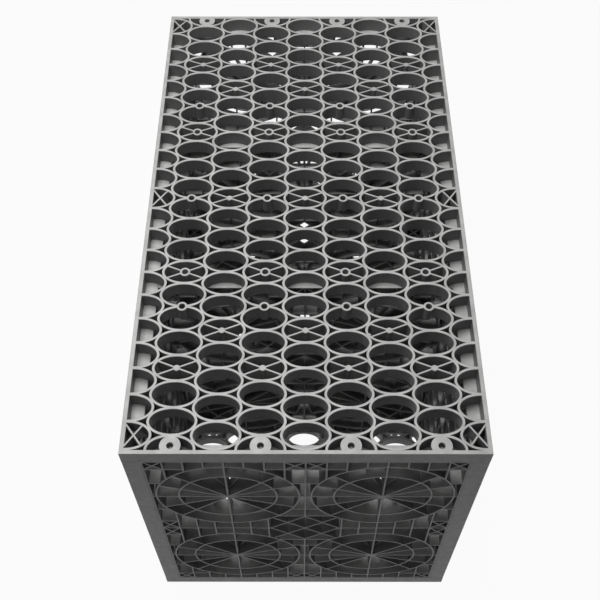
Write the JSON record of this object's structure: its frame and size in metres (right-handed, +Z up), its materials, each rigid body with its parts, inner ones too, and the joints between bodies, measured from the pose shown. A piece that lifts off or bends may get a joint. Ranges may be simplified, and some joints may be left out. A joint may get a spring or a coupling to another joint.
{
  "type": "soakaway crate",
  "caption": "Buried drainage storage crate: an open box of flat lattice plates of oval rings, with ribbed ring-and-spoke plates across it, pushed together with moulded pegs.",
  "frame": {"origin": "middle of the underside, on the surface that the crate stands on", "axes": "+X across the crate, +Y along it from the front end to the rear end, +Z up"},
  "size_m": [0.4, 0.715, 0.44],
  "materials": {
    "moulded_plastic": "slightly grained dark grey injection-moulded polypropylene"
  },
  "bodies": {
    "root": {"top_plate": "moulded_plastic", "bottom_plate": "moulded_plastic", "left_side_plate": "moulded_plastic", "right_side_plate": "moulded_plastic", "front_end_plate": "moulded_plastic", "front_inner_plate": "moulded_plastic", "rear_inner_plate": "moulded_plastic", "rear_end_plate": "moulded_plastic"}
  },
  "joints": []
}
